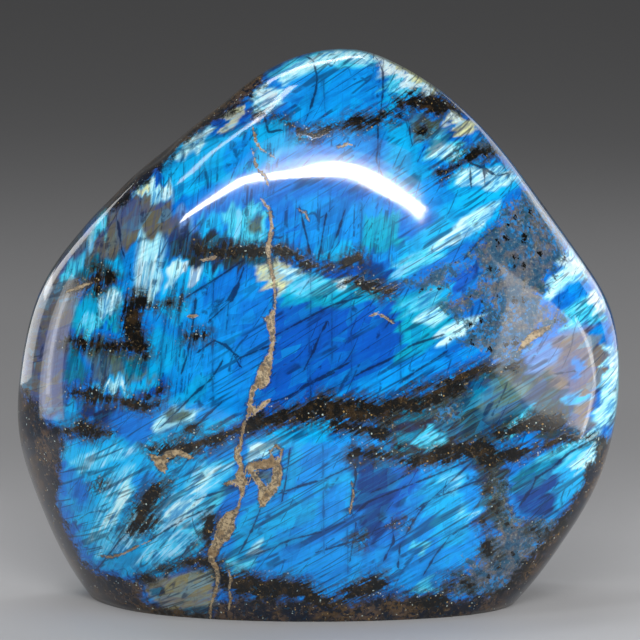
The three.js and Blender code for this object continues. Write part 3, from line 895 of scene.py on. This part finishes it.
class Labradorite(Nodes):
    """The stone's material, laid up from the flash at the bottom to the tan veins on top."""

    def __init__(self):
        super().__init__("labradorite")
        self.place = self.tree.nodes.new("ShaderNodeTexCoord").outputs["Object"]
        self.matrix, self.fracture, self.rim = self.split(self.attribute("zones")["Vector"])
        self.steep, self.fan, self.fan_line = self.split(self.attribute("twins")["Vector"])
        self.broad = self.noise(self.place, 150.0, 3.0, 0.55, 0.4)
        self.lumps = self.noise(self.place, 420.0, 4.0, 0.65, 0.3)
        self.flecks = self.noise(self.place, 980.0, 3.0, 0.65, 0.6)
        self.grit = self.noise(self.place, 1500.0, 4.0, 0.7)
        self.edge = self.plus(self.swing(self.lumps, 60.0), self.swing(self.grit, 34.0))
        self.streak = self.twin_streaks()
        colour = self.cracked(self.flash())
        colour = self.grained(colour)
        colour = self.darkened(colour)
        self.polish(self.veined(colour))

    def leaning(self, degrees, length, width):
        """Coordinates for streaks that rise to the right by an angle, with their size in millimetres."""
        node = self.tree.nodes.new("ShaderNodeMapping")
        node.vector_type = "TEXTURE"
        self.put(node.inputs["Vector"], self.place)
        node.inputs["Rotation"].default_value = (0, -np.radians(degrees), np.radians(STREAK_TURN))
        node.inputs["Scale"].default_value = (length * MM, length * MM / 2, width * MM)
        return node.outputs[0]

    def hairlines(self, degrees, length, width, thick, seen):
        """Thin dark lines between streaks, here and there."""
        field = self.noise(self.leaning(degrees, length, width), 1.0, 1.0)
        return self.times(self.step(self.math("ABSOLUTE", self.minus(field, 0.5)), thick, thick / 5), seen)

    def line(self, name):
        """For lines of the pattern: the distance from the line, the same again, and half the width.

        The first counts as zero only where its sign really changes from side to side."""
        side, away, half = self.split(self.attribute(name)["Vector"])
        return self.most(self.math("ABSOLUTE", side), self.minus(away, 1.6)), away, half

    def twin_streaks(self):
        """Fine bands along three directions, the third one curved."""
        main = self.noise(self.leaning(GENTLE_ANGLE, 8.0, 0.62), 1.0, 3.0, 0.62)
        upright = self.noise(self.leaning(STEEP_ANGLE, 9.0, 0.62), 1.0, 3.0, 0.62)
        curved = self.tree.nodes.new("ShaderNodeCombineXYZ")
        x, _, z = self.split(self.place)
        self.put(curved.inputs[0], self.times(self.fan_line, 0.36))
        self.put(curved.inputs[1], self.times(self.plus(x, z), 120.0))
        fanned = self.noise(curved.outputs[0], 1.0, 3.0, 0.62)
        return self.between(self.between(main, upright, self.steep), fanned, self.fan)

    def flash(self):
        """Cleavage blocks, each a little brighter or deeper than the next, and the twin streaks on them."""
        flash = self.attribute("flash")
        strength = flash["Alpha"]
        lively = self.minus(1.0, self.attribute("dull")["Fac"])
        _, block = self.grains(self.leaning(GENTLE_ANGLE, 9.0, 1.9), 1.0)
        _, splinter = self.grains(self.leaning(62, 6.0, 2.4), 1.0)
        tone = self.plus(self.times(block[0], 0.6), self.times(splinter[1], 0.4))
        brighter = self.times(self.step(tone, 0.55, 0.95), lively, 0.3)
        deeper = self.times(self.step(tone, 0.5, 0.1), lively, 0.4)
        shaded = self.times(self.step(self.broad, 0.5, 0.32), lively, 0.35)
        colour = self.mix(brighter, flash["Color"], (0, 180, 240))
        colour = self.mix(deeper, colour, (0, 66, 160))
        colour = self.mix(shaded, colour, (0, 62, 140))
        pale = self.times(self.step(self.streak, 0.5, 0.62), strength, lively, 0.85)
        deep = self.times(self.step(self.streak, 0.49, 0.38), lively, 0.75)
        deep = self.times(deep, self.plus(self.times(strength, 0.75), 0.26))
        whiter = self.step(strength, 0.45, 1.05)
        colour = self.mix(pale, colour, self.mix(whiter, (4, 182, 250), (212, 248, 254)))
        return self.mix(deep, colour, self.mix(whiter, (0, 66, 132), (10, 132, 200)))

    def cracked(self, colour):
        """Hairlines along the cleavage, and the longer cracks."""
        level = self.times(self.step(self.broad, 0.42, 0.54), self.minus(1.0, self.times(self.steep, 0.75)))
        upright = self.times(self.step(self.lumps, 0.44, 0.56), self.plus(0.2, self.times(self.steep, 0.8)))
        crossing = self.step(self.lumps, 0.42, 0.58)
        hair = self.hairlines(30, 44.0, 1.7, 0.045, level)
        hair = self.most(hair, self.hairlines(84, 50.0, 1.5, 0.045, upright))
        hair = self.most(hair, self.hairlines(60, 26.0, 4.6, 0.014, crossing))
        distance, away, half = self.line("crack")
        shade = self.times(self.step(self.minus(away, half), 6.0, -1.0), 0.3)
        colour = self.mix(shade, colour, (0, 62, 132))
        distance = self.minus(self.plus(distance, self.swing(self.lumps, 6.0)), half)
        crack = self.times(self.step(distance, 1.0, -0.4), self.math("MULTIPLY", half, 1.5, clamp=True))
        return self.mix(self.most(crack, self.times(hair, 0.66)), colour, (0, 22, 58))

    def grained(self, colour):
        """Matrix: grey-green and brown, mottled, with blue flecks and black pits."""
        grain = self.mix(self.step(self.lumps, 0.42, 0.6), (44, 76, 86), (98, 92, 72))
        grain = self.mix(self.times(self.step(self.grit, 0.5, 0.62), 0.6), grain, (30, 36, 36))
        grain = self.mix(self.times(self.step(self.grit, 0.44, 0.34), 0.5), grain, (150, 150, 132))
        bluer = self.times(self.step(self.flecks, 0.5, 0.6), self.step(self.broad, 0.4, 0.54), 0.75)
        grain = self.mix(bluer, grain, (26, 126, 190))
        in_matrix = self.step(self.plus(self.matrix, self.edge), 4.0, -6.0)
        colour = self.mix(self.times(in_matrix, 0.88), colour, grain)
        spots, spot = self.grains(self.place, 620.0)
        spots = self.plus(spots, self.swing(self.grit, 2.2))
        dots = self.times(self.step(spots, 0.36, 0.22), self.step(spot[0], 0.76, 0.8), in_matrix)
        return self.mix(dots, colour, (8, 8, 6))

    def darkened(self, colour):
        """Dark fractures and rims: an olive and brown skirt, then near black with a few specks."""
        slow = self.swing(self.broad, 20.0)
        depth = self.plus(self.plus(self.fracture, slow), self.times(self.edge, 0.26))
        depth = self.plus(depth, self.swing(self.streak, 24.0))
        skirt = self.times(self.step(depth, 14.0, 1.0), self.step(self.flecks, 0.34, 0.52))
        skirt = self.times(skirt, self.plus(0.55, self.times(self.step(self.grit, 0.42, 0.58), 0.4)))
        mottled = self.mix(self.step(self.flecks, 0.44, 0.56), (10, 34, 40), (52, 48, 26))
        colour = self.mix(skirt, colour, mottled)
        self.in_fracture = self.step(depth, 2.0, -2.4)
        in_rim = self.step(self.plus(self.plus(self.rim, slow), self.times(self.edge, 0.36)), 3.0, -5.0)
        dark = self.mix(self.step(self.lumps, 0.48, 0.64), (5, 6, 6), (46, 34, 18))
        dark = self.mix(self.times(self.step(self.grit, 0.57, 0.66), 0.55), dark, (104, 84, 50))
        dark = self.mix(self.times(self.step(self.flecks, 0.6, 0.66), 0.5), dark, (10, 66, 92))
        browned = self.times(self.step(self.broad, 0.46, 0.6), self.step(self.flecks, 0.42, 0.54))
        dark = self.mix(self.times(browned, in_rim, 0.7), dark, (92, 70, 40))
        in_dark = self.most(self.in_fracture, self.times(in_rim, 0.97))
        colour = self.mix(in_dark, colour, dark)
        small, speck = self.grains(self.place, 2300.0)
        small = self.plus(small, self.swing(self.grit, 1.6))
        specks = self.times(self.step(small, 0.42, 0.24), self.step(speck[0], 0.86, 0.9))
        specks = self.times(specks, self.step(self.flecks, 0.47, 0.56))
        specks = self.times(specks, self.most(self.times(in_dark, 0.75), skirt))
        gold_or_pale = self.mix(self.step(speck[1], 0.45, 0.55), (176, 144, 88), (196, 212, 204))
        return self.mix(specks, colour, gold_or_pale)

    def veined(self, colour):
        """Tan veins, a little mottled, with a dark edge in places."""
        distance, _, half = self.line("vein")
        distance = self.plus(self.minus(distance, half), self.swing(self.grit, 9.0))
        outline = self.times(self.step(distance, 2.4, 0.6), self.step(self.lumps, 0.44, 0.56), 0.7)
        colour = self.mix(outline, colour, (20, 30, 44))
        self.in_vein = self.step(distance, 0.5, -0.5)
        tan = self.mix(self.step(self.grit, 0.38, 0.54), (92, 80, 62), (176, 156, 122))
        tan = self.mix(self.times(self.step(self.lumps, 0.48, 0.6), 0.7), tan, (118, 92, 58))
        tan = self.mix(self.times(self.step(self.flecks, 0.52, 0.6), 0.6), tan, (50, 54, 58))
        return self.mix(self.in_vein, colour, tan)

    def polish(self, colour):
        """The gloss of the stone, duller and pitted on the veins and fractures."""
        self.put(self.shader.inputs["Base Color"], colour)
        rough = self.plus(0.06, self.times(self.in_vein, 0.35))
        self.put(self.shader.inputs["Roughness"], self.plus(rough, self.times(self.in_fracture, 0.1)))
        self.shader.inputs["IOR"].default_value = 1.5
        # A faint wide gloss around the sharp one, as fine polishing marks give it.
        self.shader.inputs["Coat Weight"].default_value = 0.15
        self.shader.inputs["Coat Roughness"].default_value = 0.2
        self.shader.inputs["Coat IOR"].default_value = 1.5
        bump = self.tree.nodes.new("ShaderNodeBump")
        bump.inputs["Strength"].default_value = 0.25
        bump.inputs["Distance"].default_value = PIT_DEPTH * MM
        pits = self.plus(self.times(self.in_vein, -0.6), self.times(self.grit, self.in_fracture, 0.4))
        self.put(bump.inputs["Height"], pits)
        self.put(self.shader.inputs["Normal"], bump.outputs[0])


def stone():
    """The stone as one closed mesh that carries its pattern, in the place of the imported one."""
    points, triangles = fine_mesh(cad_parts["stone"])
    mesh = bpy.data.meshes.new("labradorite_freeform")
    mesh.from_pydata((points * MM).tolist(), [], triangles.tolist())
    mesh.polygons.foreach_set("use_smooth", np.ones(len(triangles), bool))
    for name, values in pattern(points, normals_of(points, triangles)).items():
        colours = values.shape[1] == 4
        layer = mesh.attributes.new(name, "FLOAT_COLOR" if colours else "FLOAT_VECTOR", "POINT")
        layer.data.foreach_set("color" if colours else "vector", values.astype(np.float32).ravel())
    mesh.materials.append(Labradorite().material)
    obj = bpy.data.objects.new("labradorite_freeform", mesh)
    bpy.context.scene.collection.objects.link(obj)
    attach(obj, "root")
    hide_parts("stone")
    return obj


# The studio.


def look_at(obj, place, target):
    """Put an object at a place, with its front towards a target."""
    obj.location = Vector(place)
    obj.rotation_mode = "QUATERNION"
    obj.rotation_quaternion = (Vector(target) - Vector(place)).to_track_quat("-Z", "Y")


# The softboxes face the stone's middle from far off or from close by. Each has its two ends, as (azimuth,
# elevation) in degrees with azimuth 0 in front and 90 to the right, its height across them and its
# distance in millimetres, and how bright its surface is.
MIDDLE = Vector((0.0, 0.0, 50.0))
FAR = 600.0
NEAR = 160.0
SOFTBOXES = {
    "main strip, left": ((-22, 29), (2, 30), 30, FAR, 42.0),
    "main strip, right": ((0, 30), (25, 15), 25, FAR, 42.0),
    "bright haze, left": ((-19, 30.6), (2, 32), 22, FAR, 6.0),
    "bright haze, right": ((0, 32), (25, 17), 22, FAR, 6.0),
    "pale haze, left": ((-19, 32), (2, 33.2), 46, FAR, 2.2),
    "pale haze, right": ((0, 33.2), (25, 18.4), 46, FAR, 2.2),
    "wide haze": ((-16, 39), (27, 25), 110, FAR, 0.7),
    "overhead strip, lower": ((-60, 50), (-37, 59), 30, FAR, 8.0),
    "overhead strip, upper": ((-36.5, 57), (-46, 76), 44, FAR, 11.0),
    "crown strip, left": ((-112, 66), (172, 82), 56, FAR, 9.0),
    "crown strip, right": ((178, 82), (146, 64), 50, FAR, 8.0),
    "left back": ((-134, 6), (-136, 26), 150, FAR, 2.2),
    "left back, close": ((-122, -8), (-124, 12), 66, NEAR, 1.7),
    "left side": ((-88, -15), (-87, 20), 62, NEAR, 2.0),
    "left edge": ((-90, -10), (-89, 16), 12, NEAR, 2.4),
    "left edge, softer": ((-91, -13), (-90, 18), 28, NEAR, 1.2),
    "right back": ((136, 6), (140, 26), 330, FAR, 1.2),
    "right back, close": ((118, -9), (116, 26), 84, NEAR, 1.5),
    "right edge, upper": ((73, 12), (82, -4), 9, NEAR, 5.0),
    "right edge, lower": ((82, -4), (73, -16), 9, NEAR, 5.0),
    "right side": ((39, 8.5), (80, -4.5), 60, NEAR, 3.5),
}

# A broad light low in front lifts the flash. It doesn't show in the gloss.
FRONT_LIGHT = ("front", (-18, 4), (12, 4), 130, FAR, 3.2)

# How far the floor reaches to each side of the stone, in metres.
FLOOR_REACH = 6.0


def aim_at(azimuth, elevation, distance):
    """The point at a distance from the stone's middle, in a direction given in degrees."""
    a, e = np.radians(azimuth), np.radians(elevation)
    return MIDDLE + distance * Vector((np.sin(a) * np.cos(e), -np.cos(a) * np.cos(e), np.sin(e)))


def softbox(name, start, end, height, distance, brightness):
    """A lamp with a plain bright face, which mirrors in the polish but can't be seen itself."""
    start, end = aim_at(*start, distance), aim_at(*end, distance)
    across = (end - start).normalized()
    away = ((start + end) / 2 - MIDDLE).normalized()
    light = bpy.data.lights.new(name, "AREA")
    light.shape = "RECTANGLE"
    light.size = (end - start).length * MM
    light.size_y = height * MM
    light.energy = np.pi * brightness * light.size * light.size_y
    obj = bpy.data.objects.new(name, light)
    bpy.context.scene.collection.objects.link(obj)
    turn = Matrix((across, away.cross(across), away)).transposed().to_4x4()
    obj.matrix_world = Matrix.Translation((start + end) / 2 * MM) @ turn
    obj.visible_camera = False
    return obj


def camera():
    """The camera that the picture's pixels are measured in."""
    data = bpy.data.cameras.new("camera")
    data.sensor_width = SENSOR
    data.lens = SENSOR * DISTANCE / (PICTURE_WIDTH * MM_PER_PIXEL)
    data.clip_end = 20
    obj = bpy.data.objects.new("camera", data)
    bpy.context.scene.collection.objects.link(obj)
    off_centre = (AIM_PIXEL - PICTURE_WIDTH / 2) * MM_PER_PIXEL
    target = AIM - off_centre[0] * RIGHTWARD + off_centre[1] * UPWARD
    look_at(obj, (target + DISTANCE * BACKWARD) * MM, target * MM)
    bpy.context.scene.camera = obj


def floor():
    """A wide pale floor, as one square."""
    mesh = bpy.data.meshes.new("floor")
    corners = [(x * FLOOR_REACH, y * FLOOR_REACH, 0) for x, y in ((-1, -1), (1, -1), (1, 1), (-1, 1))]
    mesh.from_pydata(corners, [], [(0, 1, 2, 3)])
    material = bpy.data.materials.new("floor")
    material.use_nodes = True
    shader = material.node_tree.nodes["Principled BSDF"]
    shader.inputs["Base Color"].default_value = (0.42, 0.42, 0.43, 1)
    shader.inputs["Roughness"].default_value = 0.7
    mesh.materials.append(material)
    obj = bpy.data.objects.new("floor", mesh)
    bpy.context.scene.collection.objects.link(obj)


def studio():
    """The lamps, and a dim even light from all around."""
    scene = bpy.context.scene
    scene.view_settings.view_transform = "Standard"
    world = bpy.data.worlds.new("world")
    world.use_nodes = True
    background = world.node_tree.nodes["Background"]
    background.inputs["Color"].default_value = (1.0, 1.0, 1.0, 1)
    background.inputs["Strength"].default_value = 0.1
    scene.world = world
    for name, box in SOFTBOXES.items():
        softbox(name, *box)
    softbox(*FRONT_LIGHT).visible_glossy = False


stone()
floor()
studio()
camera()
